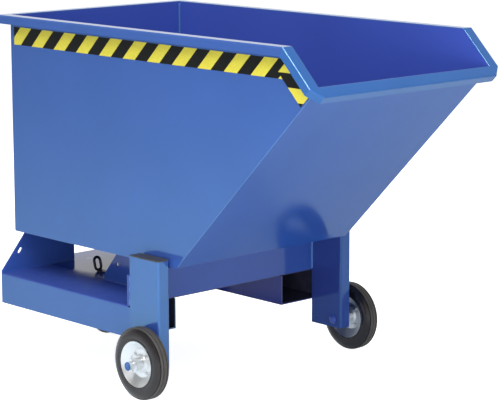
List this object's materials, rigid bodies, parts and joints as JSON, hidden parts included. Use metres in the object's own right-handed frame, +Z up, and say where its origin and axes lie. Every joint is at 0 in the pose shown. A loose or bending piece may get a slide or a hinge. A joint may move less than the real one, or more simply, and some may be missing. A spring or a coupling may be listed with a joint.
{
  "type": "tipping skip trolley",
  "caption": "Blue sheet-steel tipping skip with a sloped spout on a wheeled frame with fork pockets, a swivel caster, a tipping pivot and a sliding lock.",
  "frame": {"origin": "on the ground, at the bottom centre of the whole trolley's bounding box at rest", "axes": "+X forward, towards the spout; +Y to the left; +Z up"},
  "size_m": [1.3682, 0.909, 0.996],
  "materials": {
    "blue_paint": "glossy",
    "dark_steel": "satin",
    "zinc_plate": "satin",
    "bearing_steel": "satin",
    "grey_tyre": "matte",
    "bronze": "satin",
    "cap_plastic": "matte",
    "pad_rubber": "matte"
  },
  "bodies": {
    "chassis": {"axle_bolt_left": "blue_paint", "axle_bolt_right": "blue_paint", "axle_spacers": "zinc_plate", "axle_washers": "zinc_plate", "bulkhead_pads": "pad_rubber", "caster_kingpin": "zinc_plate", "caster_nuts": "zinc_plate", "caster_screws": "blue_paint", "caster_top_plate": "zinc_plate", "cross_bar": "blue_paint", "deck_plate": "blue_paint", "leg_cap_left": "cap_plastic", "leg_cap_right": "cap_plastic", "leg_left": "blue_paint", "leg_right": "blue_paint", "lock_guides": "blue_paint", "pivot_bolts": "zinc_plate", "pivot_bosses": "blue_paint", "pocket_channel_left": "blue_paint", "pocket_channel_right": "blue_paint", "rear_bulkhead": "blue_paint", "split_pins": "zinc_plate", "web_left": "blue_paint", "web_pads": "pad_rubber", "web_right": "blue_paint"},
    "skip": {"pivot_bushes": "bronze", "pivot_lug_left": "blue_paint", "pivot_lug_right": "blue_paint", "rim_spout": "blue_paint", "rim_top": "blue_paint", "skip_sheet": "blue_paint", "skip_side_left": "blue_paint", "skip_side_right": "blue_paint", "striker_plate": "blue_paint"},
    "left_wheel": {"left_wheel_bearing": "bearing_steel", "left_wheel_hub": "zinc_plate", "left_wheel_inner_disc": "zinc_plate", "left_wheel_outer_disc": "zinc_plate", "left_wheel_rivets": "zinc_plate", "left_wheel_tyre": "grey_tyre"},
    "right_wheel": {"right_wheel_bearing": "bearing_steel", "right_wheel_hub": "zinc_plate", "right_wheel_inner_disc": "zinc_plate", "right_wheel_outer_disc": "zinc_plate", "right_wheel_rivets": "zinc_plate", "right_wheel_tyre": "grey_tyre"},
    "caster_swivel": {"caster_axle_bolt": "zinc_plate", "caster_fork": "zinc_plate"},
    "caster_wheel": {"caster_wheel_bearing": "bearing_steel", "caster_wheel_hub": "zinc_plate", "caster_wheel_inner_disc": "zinc_plate", "caster_wheel_outer_disc": "zinc_plate", "caster_wheel_rivets": "zinc_plate", "caster_wheel_tyre": "grey_tyre"},
    "lock": {"lock_bolt": "dark_steel", "pull_loop": "dark_steel"}
  },
  "joints": [
    {"name": "skip_tip", "type": "hinge", "parent": "chassis", "child": "skip", "pos_m": [0.00887, 0, 0.34295], "axis": [0, 1, 0], "range_deg": [0, 60]},
    {"name": "left_wheel_spin", "type": "hinge", "parent": "chassis", "child": "left_wheel", "pos_m": [0.06887, 0.404, 0.1], "axis": [0, 1, 0], "continuous": true},
    {"name": "right_wheel_spin", "type": "hinge", "parent": "chassis", "child": "right_wheel", "pos_m": [0.06887, -0.404, 0.1], "axis": [0, 1, 0], "continuous": true},
    {"name": "caster_turn", "type": "hinge", "parent": "chassis", "child": "caster_swivel", "pos_m": [-0.63113, 0, 0.211], "axis": [0, 0, 1], "continuous": true},
    {"name": "caster_wheel_spin", "type": "hinge", "parent": "caster_swivel", "child": "caster_wheel", "pos_m": [-0.58413, 0, 0.1], "axis": [0, 1, 0], "continuous": true},
    {"name": "lock_slide", "type": "slide", "parent": "chassis", "child": "lock", "axis": [1, 0, 0], "range_m": [0, 0.032]}
  ]
}
